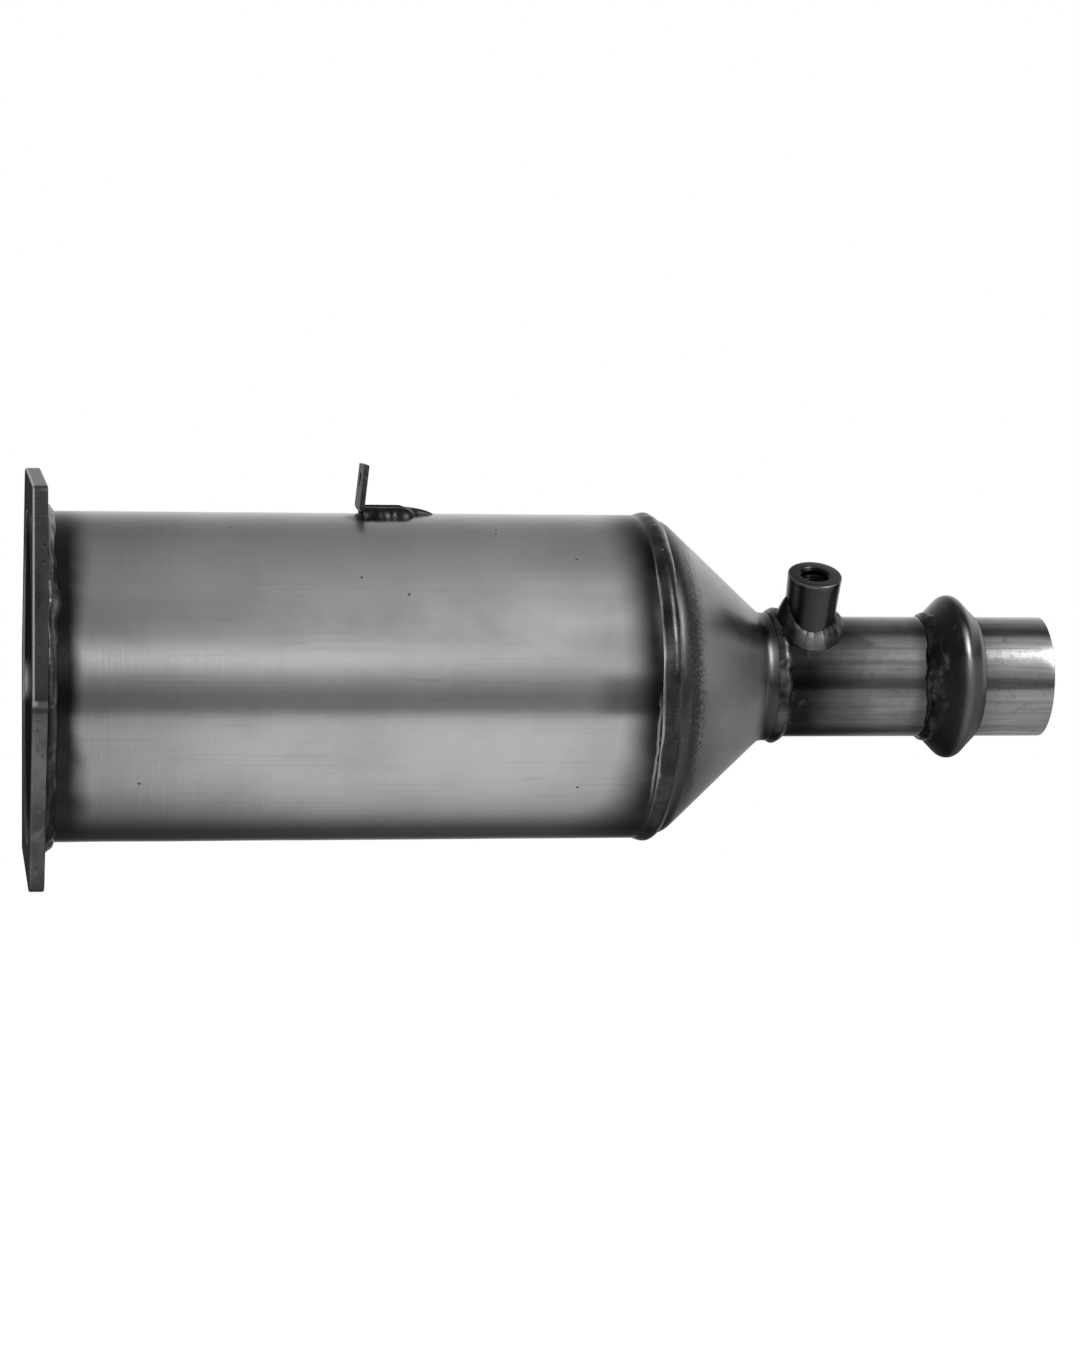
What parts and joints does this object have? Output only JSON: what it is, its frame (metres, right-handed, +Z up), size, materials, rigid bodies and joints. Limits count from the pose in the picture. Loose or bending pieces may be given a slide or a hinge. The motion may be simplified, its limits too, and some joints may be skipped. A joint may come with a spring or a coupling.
{
  "type": "diesel particulate filter",
  "caption": "Round exhaust particulate filter: steel can with a bolted inlet flange, outlet cone and pipe with a sensor boss and clamp ring, round a segmented ceramic block.",
  "frame": {"origin": "on the gas axis, in the mating face of the inlet flange", "axes": "+X along the gas axis from the inlet flange to the outlet pipe, +Z up, away from the can at the clip bracket's side, -Y towards the side on which the sensor boss leans"},
  "size_m": [0.481, 0.176, 0.1965],
  "materials": {
    "flange_steel": "dark rolled plate",
    "can_steel": "satin, heat tinted at the welds",
    "cone_steel": "satin, heat tinted",
    "pipe_steel": "drawn tube, bright at the end",
    "boss_steel": "dark turned steel",
    "ring_steel": "dark turned steel",
    "bracket_steel": "dark bent strip",
    "weld_metal": "rippled, scaled",
    "mat_fibre": "matt fibre",
    "seal_wire": "knitted wire",
    "cement": "matt",
    "ceramic": "matt, porous"
  },
  "bodies": {
    "root": {"inlet_flange": "flange_steel", "flange_weld": "weld_metal", "filter_can": "can_steel", "can_seam_weld": "weld_metal", "clip_bracket": "bracket_steel", "bracket_weld": "weld_metal", "cone_weld": "weld_metal", "outlet_cone": "cone_steel", "neck_weld": "weld_metal", "outlet_pipe": "pipe_steel", "sensor_boss": "boss_steel", "boss_weld": "weld_metal", "clamp_ring": "ring_steel", "ring_weld": "weld_metal", "support_mat": "mat_fibre", "inlet_mesh_seal": "seal_wire", "outlet_mesh_seal": "seal_wire", "filter_cement": "cement", "filter_segment_1_1": "ceramic", "filter_segment_1_2": "ceramic", "filter_segment_1_3": "ceramic", "filter_segment_1_4": "ceramic", "filter_segment_2_1": "ceramic", "filter_segment_2_2": "ceramic", "filter_segment_2_3": "ceramic", "filter_segment_2_4": "ceramic", "filter_segment_3_1": "ceramic", "filter_segment_3_2": "ceramic", "filter_segment_3_3": "ceramic", "filter_segment_3_4": "ceramic", "filter_segment_4_1": "ceramic", "filter_segment_4_2": "ceramic", "filter_segment_4_3": "ceramic", "filter_segment_4_4": "ceramic"}
  },
  "joints": []
}
